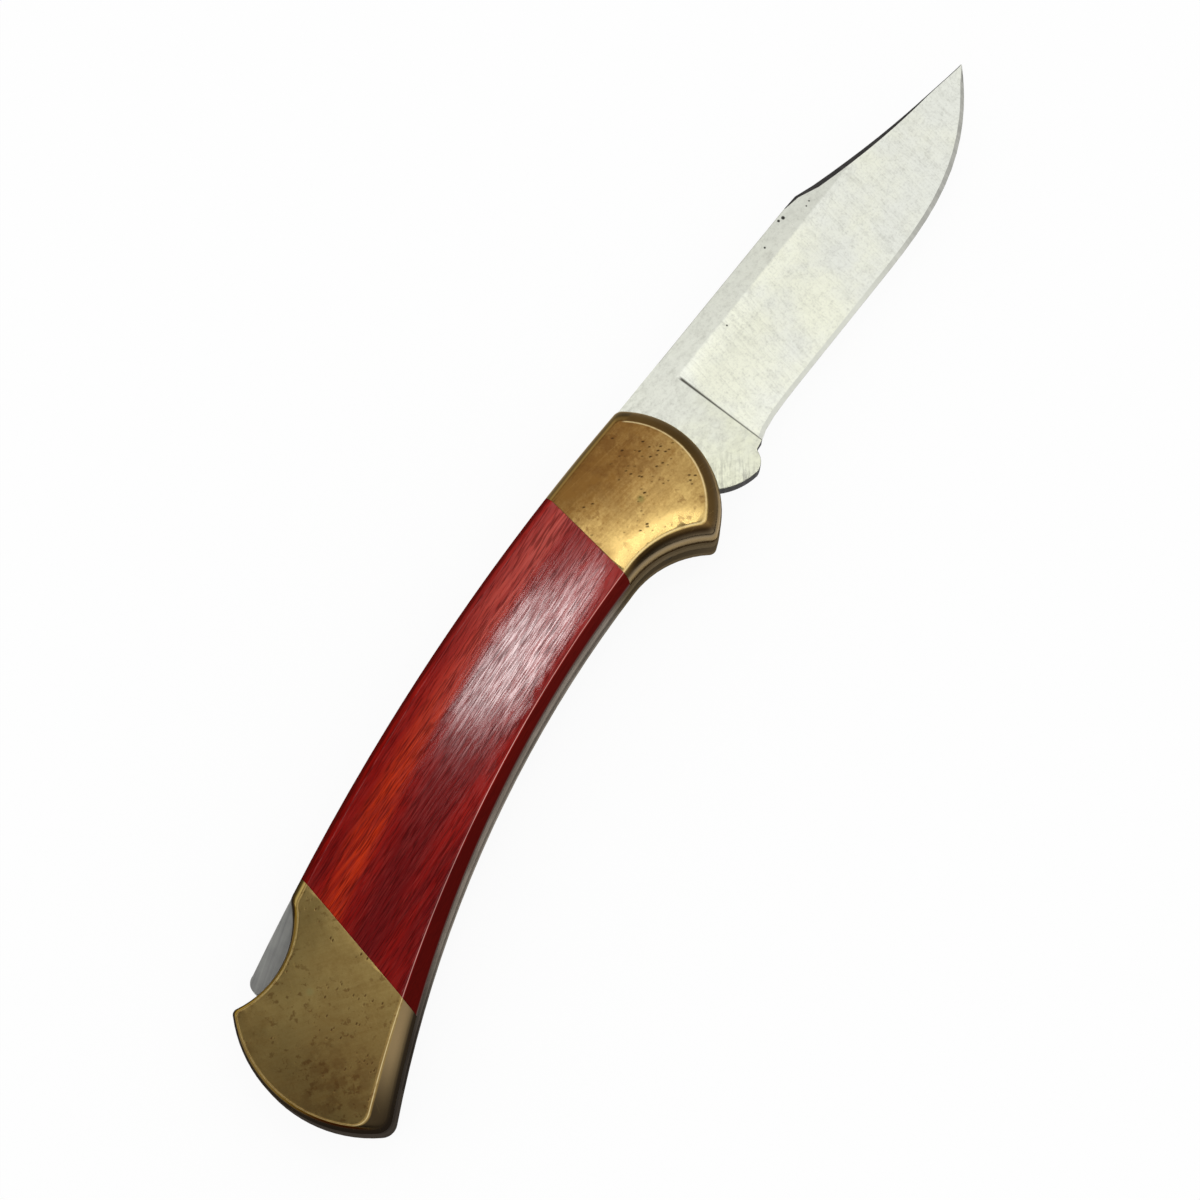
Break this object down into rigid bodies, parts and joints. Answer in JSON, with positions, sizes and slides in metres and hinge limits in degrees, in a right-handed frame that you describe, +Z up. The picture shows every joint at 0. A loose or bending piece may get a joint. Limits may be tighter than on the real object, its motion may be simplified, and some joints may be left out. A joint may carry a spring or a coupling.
{
  "type": "folding pocket knife",
  "caption": "Lockback folding pocket knife, lying open: clip-point blade, brass bolsters, red wood scales, rocking lock bar over a leaf spring.",
  "frame": {"origin": "where the blade's pivot axis meets the surface that the open knife lies on", "axes": "+X along the open blade to the point, +Y towards the spine, +Z up, through the handle's thickness"},
  "size_m": [0.2066, 0.0441, 0.015],
  "materials": {
    "blade_steel": "satin, finely ground",
    "lock_steel": "matte satin",
    "spring_steel": "dull, heat treated",
    "pin_steel": "plain",
    "bolster_brass": "worn, tarnished, with fine scratches",
    "pin_brass": "ground flush",
    "liner_metal": "aged nickel silver",
    "bronze": "plain bearing bronze",
    "scale_wood": "red-dyed, lacquered, fine grain along the handle"
  },
  "bodies": {
    "handle": {"lock_spring": "spring_steel", "rocker_pin": "pin_steel", "spring_pin": "pin_steel", "left_front_bolster": "bolster_brass", "right_front_bolster": "bolster_brass", "left_rear_bolster": "bolster_brass", "right_rear_bolster": "bolster_brass", "pivot_pin": "pin_brass", "upper_rear_rivet": "pin_brass", "lower_rear_rivet": "pin_brass", "left_front_bolster_pins": "pin_brass", "right_front_bolster_pins": "pin_brass", "left_liner": "liner_metal", "right_liner": "liner_metal", "rear_spacer": "liner_metal", "pivot_bushing": "bronze", "left_pivot_washer": "bronze", "right_pivot_washer": "bronze", "left_scale": "scale_wood", "right_scale": "scale_wood"},
    "blade": {"blade": "blade_steel"},
    "lock": {"lock_bar": "lock_steel"}
  },
  "joints": [
    {"name": "blade_fold", "type": "hinge", "parent": "handle", "child": "blade", "pos_m": [0, 0, 0.0075], "axis": [0, 0, -1], "range_deg": [0, 170]},
    {"name": "lock_engage", "type": "hinge", "parent": "handle", "child": "lock", "pos_m": [-0.048, 0.00731, 0.0075], "axis": [0, 0, -1], "range_deg": [0, 1.75], "stiffness_Nm_per_rad": 2, "springref_deg": 14.32}
  ]
}
